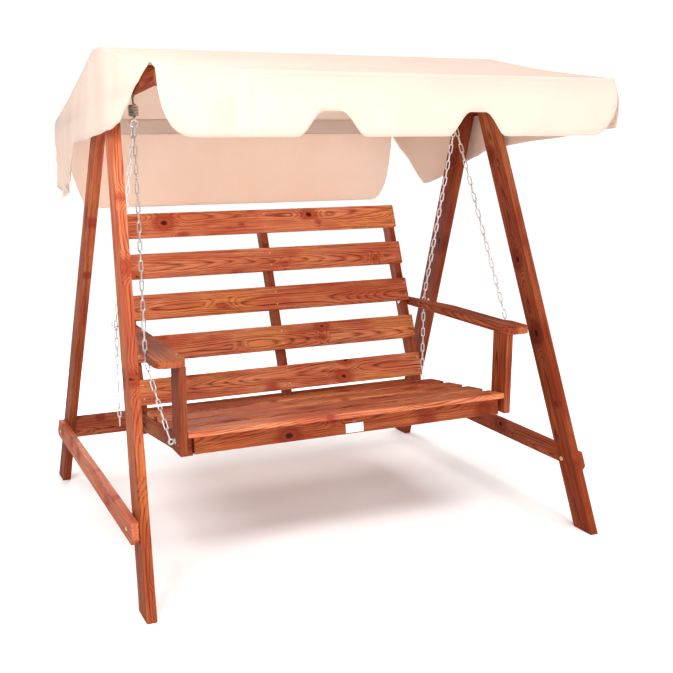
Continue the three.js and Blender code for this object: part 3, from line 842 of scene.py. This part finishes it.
def post_eye(name, side):
    """The eye bolt through post and bearer, its washers and its nut."""
    centre = centre_of("post_eye_" + name)
    centre.x = side * POST_EYE["x"]
    inner = inner_outer("post_eye_" + name, side)[0]
    bearer_inner = side * BEARER_INNER_X
    shape = bmesh.new()
    shank = [Vector((inner, centre.y, centre.z)),
             centre - X * side * (POST_EYE["radius"] + 0.0045)]
    eye(shape, shank, centre, POST_EYE, -side * X, Z, range(14, 345, 11))
    lathe(shape, WASHER, facing((side * POST_OUTER_X, centre.y, centre.z), (side, 0, 0)))
    lathe(shape, WASHER, facing((bearer_inner, centre.y, centre.z), (-side, 0, 0)))
    lathe(shape, NUT, facing((bearer_inner - side * 0.0012, centre.y, centre.z), (-side, 0, 0)),
          sides=HEXAGON)
    metal("eye_bolt_" + name, shape, "bench", "post_eye_" + name)


def build_hanging_gear():
    for name, side in SIDES:
        for build in (beam_eye, spring_hook, coil_spring, link_ring, armrest_hook, post_eye):
            build(name, side)
        chain("front_links_" + name, front_chain_route(name, side), "front_chain_" + name)
        chain("rear_links_" + name, rear_chain_route(name, side), "rear_chain_" + name)


build_hanging_gear()


# ---------------------------------------------------------- plate and staple

def build_plate():
    made = piece("blank_plate", rounded(cleaned("label_plate"), 0.0004, 0.0005), ENAMEL)
    flat_faces(made)
    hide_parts("label_plate")
    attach(made, "bench")


def build_staple():
    """A wire staple in the apron, just above the plate."""
    shape = bmesh.new()
    local = [Vector((x, 0.028 + y, -0.0405)) for x, y in
             ((-0.006, 0.004), (-0.006, 0.0005), (-0.0045, -0.0012), (0.0045, -0.0012),
              (0.006, 0.0005), (0.006, 0.004))]
    tube(shape, smooth_path([SEAT_FRAME @ point for point in local], 3), 0.0006, 6)
    metal("staple", shape, "bench")


build_plate()
build_staple()


# ------------------------------------------------------------------- the cover

COVER_HALF = 0.9225             # middle plane to the cloth, at floor level
HEM = 0.018                     # width of the hem
SEAM_INSET = 0.012
CLOTH_THICK = 0.0016
SLEEVE_THICK = 0.001
COLUMNS = 128
SHARES = [2 * k / COLUMNS - 1 for k in range(COLUMNS + 1)]      # left end -1, right end 1
SLOPE_ROWS = 22
FRONT_HEM_Z = 1.519
NOTCH = {"x": 0.265, "half": 0.115, "flat": 0.030, "high": 0.078}
REAR_HEM_Z = 1.208
# The end flaps' lower edges, front to rear: y, z.
FLAP_EDGE = {
    -1: ((-0.733, 1.730), (-0.600, 1.678), (-0.497, 1.622), (-0.388, 1.567), (-0.262, 1.544),
         (-0.022, 1.525), (0.085, 1.510), (0.350, 1.500), (0.450, 1.350), (0.566, 1.268),
         (0.650, 1.310), (0.730, 1.440), (0.796, 1.500)),
    1: ((-0.796, 1.545), (-0.400, 1.505), (-0.030, 1.467), (0.092, 1.427), (0.288, 1.354),
        (0.520, 1.295), (0.700, 1.441), (0.796, 1.505)),
}

roof_front_low, roof_front_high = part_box("canopy_front_roof")
roof_rear_low, roof_rear_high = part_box("canopy_rear_roof")
FRONT_Y, REAR_Y = roof_front_low.y + 0.0015, roof_rear_high.y - 0.0015
RIDGE_Z = roof_front_high.z + 0.001
FRONT_Z, REAR_Z = roof_front_low.z + 0.002, roof_rear_low.z + 0.002
RIDGE_HALF = 0.056
LOBE = {"y": 0.57, "half": 0.11, "fold": 0.075}     # the left flap's rear lobe, in deep folds


def lerp(a, b, share):
    """The number a share of the way from one to another."""
    return a + (b - a) * share


def ease(share):
    """0 to 1 with a soft start and end."""
    share = min(1.0, max(0.0, share))
    return share * share * (3 - 2 * share)


def cover_half(z):
    """X of the cloth's ends at a height."""
    return COVER_HALF - LEAN * z


def panel_steps(length, count, free=False):
    """Distances down a panel, with rows close to its sewn edges and at its seams. A
    free lower edge has a hem instead."""
    edge = min(0.003, length * 0.04)
    seam = min(SEAM_INSET, length * 0.15)
    last = length - (min(HEM, length * 0.25) if free else seam)
    inner = [lerp(seam, last, k / count) for k in range(count + 1)]
    return [0.0, edge, *inner, length] if free else [0.0, edge, *inner, length - edge, length]


def roof_rows():
    """(y, z, distance from the rear edge, slack) down the roof's middle line. Slack is 1
    in the middle of a slope and 0 where the cloth is held."""
    corners = [(REAR_Y, REAR_Z), (RIDGE_HALF, RIDGE_Z), (-RIDGE_HALF, RIDGE_Z), (FRONT_Y, FRONT_Z)]
    rows, travelled = [], 0.0
    for number, (a, b) in enumerate(zip(corners, corners[1:])):
        span = math.hypot(b[0] - a[0], b[1] - a[1])
        count = SLOPE_ROWS if number != 1 else 4
        for distance in panel_steps(span, count)[0 if number == 0 else 1:]:
            share = distance / span
            slack = math.sin(math.pi * share) if number != 1 else 0.0
            rows.append((lerp(a[0], b[0], share), lerp(a[1], b[1], share),
                         travelled + distance, slack))
        travelled += span
    return rows


def rough(u, v, seed, size):
    """Gentle irregular waves of about a given size."""
    return noise.noise(Vector((u / size, v / size, seed)))


def roof_point(share, row):
    """A point of the roof's cloth, from -1 at its left end to 1 at its right. It sags
    between its supports, and stands up a little at the front left corner."""
    y, z, _, slack = row
    x = share * cover_half(z)
    hang = 0.010 + 0.004 * rough(x, y, 3.0, 0.5)
    wrinkle = 0.0035 * rough(x * 0.4, y, 8.0, 0.10) + 0.003 * rough(x, y * 0.5, 5.0, 0.16)
    edge = ease((1 - abs(share)) * 6)
    inwards = y - FRONT_Y
    propped = 0.014 * ease((-share - 0.88) * 12) * math.exp(-((inwards - 0.063) / 0.05) ** 2)
    propped *= ease(inwards / 0.035)
    return Vector((x, y, z - slack * (hang + wrinkle * edge) + propped))


def roof_height(y):
    """Height of the roof's cloth over its middle line."""
    rows = roof_rows()
    for above, below in zip(rows, rows[1:]):
        if below[0] <= y <= above[0]:
            share = (above[0] - y) / (above[0] - below[0])
            return lerp(roof_point(0.0, above).z, roof_point(0.0, below).z, share)
    raise ValueError("beyond the roof")


def corner_bulge(away, drop):
    """Cloth turning a hanging corner stands out from it."""
    return 0.020 * math.exp(-(away / 0.05) ** 2) * math.sin(math.pi * min(1.0, drop / 0.2))


def corner_curve(x, t, stops):
    """A point (x, z) of a hem's rounded corner, on the side of the given x."""
    weights = ((1 - t) ** 2, 2 * t * (1 - t), t * t)
    bx, bz = (sum(w * stop[i] for w, stop in zip(weights, stops)) for i in (0, 1))
    return math.copysign(bx, x), bz


def front_hem(share):
    """A point (x, z) of the front valance's lower edge, left end at -1, right end at 1."""
    half = cover_half(FRONT_Z)
    x = share * half
    corner = 0.115 if share < 0 else 0.075
    tuck = 0.0075 if share < 0 else -0.010
    start = half - corner
    if abs(x) <= start:
        from_notch = abs(abs(x) - NOTCH["x"])
        rise = 1 - ease((from_notch - NOTCH["flat"]) / (NOTCH["half"] - NOTCH["flat"]))
        return x, FRONT_HEM_Z + NOTCH["high"] * rise
    t = min(1.0, (abs(x) - start) / corner)
    t = 1 - (1 - t) ** 1.25
    return corner_curve(x, t, [(start, FRONT_HEM_Z), (half - tuck, FRONT_HEM_Z + 0.003),
                               (half, FRONT_Z)])


def rear_hem(share):
    """The same for the rear valance."""
    half = cover_half(REAR_Z)
    x = share * half
    corner = 0.13 if share < 0 else 0.12
    start = half - corner
    if abs(x) <= start:
        return x, REAR_HEM_Z
    t = min(1.0, (abs(x) - start) / corner)
    tuck = 0.095 if share < 0 else 0.012
    return corner_curve(x, t, [(start, REAR_HEM_Z), (half - tuck, REAR_HEM_Z), (half, REAR_Z)])


def flap_hem(side, y):
    """Height of an end flap's lower edge at a place along it."""
    points = FLAP_EDGE[side]
    if y <= points[0][0]:
        return points[0][1]
    for (y0, z0), (y1, z1) in zip(points, points[1:]):
        if y <= y1:
            return lerp(z0, z1, ease((y - y0) / (y1 - y0)) * 0.45 + 0.55 * (y - y0) / (y1 - y0))
    return points[-1][1]


class Cover:
    """Grids of cloth in one mesh. Each point has its place in the weave and its
    distance from a line of stitches."""

    def __init__(self):
        self.shape = bmesh.new()
        self.weave = self.shape.verts.layers.float_vector.new("weave")
        self.stitch = self.shape.verts.layers.float.new("stitch")

    def grid(self, rows):
        """Rows of (place, place in the weave, distance from the stitches)."""
        made = []
        for row in rows:
            line = []
            for place, weave, stitch in row:
                vert = self.shape.verts.new(place)
                vert[self.weave] = (weave[0], weave[1], 0)
                vert[self.stitch] = stitch
                line.append(vert)
            made.append(line)
        for row, following in zip(made, made[1:]):
            for a, b, c, d in zip(row, row[1:], following[1:], following):
                self.shape.faces.new((a, b, c, d))


def seam_distance(drop, length):
    """How far a place down a panel is from the nearer line of stitches."""
    return min(abs(drop - SEAM_INSET), abs(drop - (length - HEM)))


def valance_fold(kind, x, drop, length):
    """How far a valance stands out from its plane at a place."""
    loose = ease((drop - 0.045) / 0.12)
    if kind == "front":
        soft = 0.015 * rough(x, drop * 0.3, 11.0, 0.30) + 0.008 * rough(x, drop * 0.4, 2.0, 0.11)
        crease = 0.005 * math.exp(-((x + 0.545) / 0.012) ** 2) * ease(drop / 0.03)
        lift = 0.010 * ease(drop / length) * math.cos(x * 5.0)
        return loose * (soft + lift) + crease
    soft = 0.016 * rough(x, drop * 0.3, 21.0, 0.34) + 0.005 * rough(x, drop * 0.5, 4.0, 0.12)
    return loose * soft


def valance(cover, kind, y, z_top, hem, outward, count, v_start, v_direction):
    """A panel that hangs from one edge of the roof."""
    columns = []
    half = cover_half(z_top)
    for share in SHARES:
        top = Vector((share * half, y, z_top))
        bottom_x, bottom_z = hem(share)
        length = max(math.hypot(bottom_x - top.x, z_top - bottom_z), 1e-4)
        column = []
        for drop in panel_steps(length, count, free=True):
            place = top.lerp(Vector((bottom_x, y, bottom_z)), drop / length)
            down = z_top - place.z
            out = valance_fold(kind, place.x, down, length) if length > 0.001 else 0.0
            bulge = corner_bulge(half - place.x, down) if kind == "front" else 0.0
            place += Vector((bulge, outward * (out + 0.2 * bulge), 0))
            weave = (place.x, v_start + v_direction * drop)
            column.append((place, weave, seam_distance(drop, length)))
        columns.append(column)
    cover.grid(columns)


def flap_fold(side, y, drop, length):
    """How far an end flap stands out from its plane at a place."""
    loose = ease(drop / 0.10)
    soft = 0.014 * rough(y, drop * 0.3, 31.0 + side, 0.22)
    small = 0.006 * rough(y, drop * 0.4, 7.0 + side, 0.09)
    deep = 0.0
    if side < 0:
        within = math.exp(-((y - LOBE["y"]) / LOBE["half"]) ** 2)
        deep = 0.020 * within * math.cos((y - LOBE["y"]) * 2 * math.pi / LOBE["fold"])
    stand_off = 0.004 * ease(drop / 0.03)
    return max(0.0, loose * (soft + small) + stand_off) + loose * deep * drop / length


def end_flap(cover, side, rows, count):
    """A panel that hangs from a sloping end of the roof."""
    columns = []
    for row in rows:
        top = roof_point(side, row)
        bottom_z = flap_hem(side, top.y)
        length = top.z - bottom_z
        if length < 0.006 or (side < 0 and top.y < FLAP_EDGE[-1][0][0]):
            continue
        column = []
        for drop in panel_steps(length, count, free=True):
            z = top.z - drop
            out = flap_fold(side, top.y, drop, length)
            away = top.y - FRONT_Y
            bulge = corner_bulge(away, drop) if side > 0 else 0.0
            out = out * ease(away / 0.08) + bulge if side > 0 else out
            place = Vector((side * (cover_half(z) + out), top.y - 0.2 * bulge, z))
            weave = (side * (cover_half(top.z) + drop), row[2])
            column.append((place, weave, seam_distance(drop, length)))
        columns.append(column)
    cover.grid(columns)


def sewn(name, cover, thickness):
    """Turns a cover's mesh into a piece of canvas of a thickness."""
    made = piece(name, cover.shape, CANVAS)
    thick = made.modifiers.new("thickness", "SOLIDIFY")
    thick.thickness = thickness
    thick.offset = 0.0
    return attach(made, "frame")


def build_cover():
    cover = Cover()
    rows = roof_rows()
    grid = []
    total = rows[-1][2]
    for row in rows:
        places = [roof_point(share, row) for share in SHARES]
        stitch = min(row[2], total - row[2]) + 0.01     # so the roof itself shows none
        grid.append([(place, (place.x, row[2]), stitch) for place in places])
    cover.grid(grid)
    valance(cover, "front", FRONT_Y, FRONT_Z, front_hem, -1, 12, total, 1)
    valance(cover, "rear", REAR_Y, REAR_Z, rear_hem, 1, 18, 0.0, -1)
    for _, side in SIDES:
        end_flap(cover, side, rows, 14)
    bmesh.ops.remove_doubles(cover.shape, verts=cover.shape.verts, dist=0.0004)
    made = sewn("canopy_cover", cover, CLOTH_THICK)
    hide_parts("canopy_front_roof", "canopy_rear_roof", "canopy_front_valance",
                "canopy_rear_valance", "canopy_end_flap_left", "canopy_end_flap_right")
    return made


def build_sleeves():
    """Sewn channels that hold the cover on its two bars, between the arms."""
    sleeves = []
    for end_name, end in ENDS:
        low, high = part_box(f"canopy_{end_name}_bar")
        inner = min(abs(low.y), abs(high.y)) - 0.0025
        outer = max(abs(low.y), abs(high.y)) + 0.0002
        half = cover_half(high.z) - 0.052
        path = [(outer, low.z - 0.012), (outer - 0.006, low.z - 0.006),
                (inner + 0.004, low.z - 0.003), (inner, low.z + 0.003), (inner, high.z - 0.002),
                (inner - 0.008, roof_height(end * (inner - 0.008)) - 0.001)]
        cover = Cover()
        grid, travelled = [], 0.0
        for (y0, z0), (y1, z1) in zip(path, path[1:] + path[-1:]):
            line = []
            for share in SHARES:
                x = half * share
                pucker = 0.0012 * rough(x, z0, 40.0 + end, 0.05)
                line.append((Vector((x, end * (y0 - abs(pucker)), z0)), (x, travelled), 0.1))
            grid.append(line)
            travelled += math.hypot(y1 - y0, z1 - z0)
        cover.grid(grid)
        sleeves.append(sewn("canopy_sleeve_" + end_name, cover, SLEEVE_THICK))
    return sleeves


cover_piece = build_cover()
sleeve_pieces = build_sleeves()


# ------------------------------------------------------ floor, light and camera

SKY_LIGHT = 0.26


def build_stage():
    s = Shader("floor")
    place = s.node("TexCoord", {}, "Object")
    cloud = s.noise(place, (0.8, 0.8, 0.8))
    s.finish(Base_Color=s.mix(cloud, rgb(247, 247, 247), rgb(250, 250, 250)), Roughness=0.9)
    shape = bmesh.new()
    bmesh.ops.create_grid(shape, x_segments=8, y_segments=8, size=30)
    mesh = bpy.data.meshes.new("floor")
    shape.to_mesh(mesh)
    shape.free()
    mesh.materials.append(s.material)
    add_object("floor", mesh)


def lamp(kind, name, place, target, power, colour):
    """A lamp at a place, turned towards a target. Gives its data."""
    data = bpy.data.lights.new(name, kind)
    data.energy = power
    data.color = colour
    made = add_object(name, data)
    made.location = place
    made.rotation_euler = (Vector(place) - Vector(target)).to_track_quat("Z", "Y").to_euler()
    return data


def sun(name, azimuth, elevation, strength, spread, colour):
    """A soft distant light. Azimuth 0 comes from the front, and 90 from the right."""
    a, e = math.radians(azimuth), math.radians(elevation)
    source = Vector((math.sin(a) * math.cos(e), -math.cos(a) * math.cos(e), math.sin(e)))
    data = lamp("SUN", name, source * 6, (0, 0, 0), strength, colour)
    data.angle = math.radians(spread)


def softbox(name, place, target, size, power, colour):
    """A round area light."""
    data = lamp("AREA", name, place, target, power, colour)
    data.shape = "DISK"
    data.size = size


def build_light():
    """Soft lamps, and a sky that lights the object less than it shows white."""
    sun("sky_light", 10, 78, 2.3, 50, (1.0, 0.99, 0.98))
    softbox("key", (0.4, -5.5, 1.8), (-0.1, 0.2, 1.1), 1.8, 130, (1.0, 0.98, 0.97))
    softbox("left", (-2.1, -1.3, 2.3), (-0.8, 0, 1.3), 1.2, 34, (1.0, 0.99, 0.97))
    softbox("back", (0.2, 3.0, 1.4), (0, 0.8, 1.4), 1.6, 46, (1.0, 0.99, 0.98))
    world = bpy.data.worlds.new("studio")
    world.use_nodes = True
    tree = world.node_tree
    sky = tree.nodes["Background"]
    sky.inputs["Color"].default_value = (1.0, 1.0, 1.0, 1.0)
    seen = tree.nodes.new("ShaderNodeLightPath").outputs["Is Camera Ray"]
    strength = tree.nodes.new("ShaderNodeMapRange")
    strength.inputs["To Min"].default_value = SKY_LIGHT
    tree.links.new(seen, strength.inputs["Value"])
    tree.links.new(strength.outputs[0], sky.inputs["Strength"])
    bpy.context.scene.world = world
    bpy.context.scene.view_settings.view_transform = "Standard"
    bpy.context.scene.view_settings.look = "Medium High Contrast"


def build_camera():
    """The photograph's viewpoint."""
    data = bpy.data.cameras.new("camera")
    data.sensor_width = 36.0
    data.lens = 52.13
    data.shift_x = 0.07
    camera = add_object("camera", data)
    yaw, pitch, roll = (math.radians(d) for d in (-23.14, 78.36, -0.21))
    turn = (Matrix.Rotation(yaw, 4, "Z") @ Matrix.Rotation(pitch, 4, "X")
            @ Matrix.Rotation(roll, 4, "Z"))
    camera.matrix_world = Matrix.Translation((-1.602, -3.578, 1.523)) @ turn
    bpy.context.scene.camera = camera


build_stage()
build_light()
build_camera()
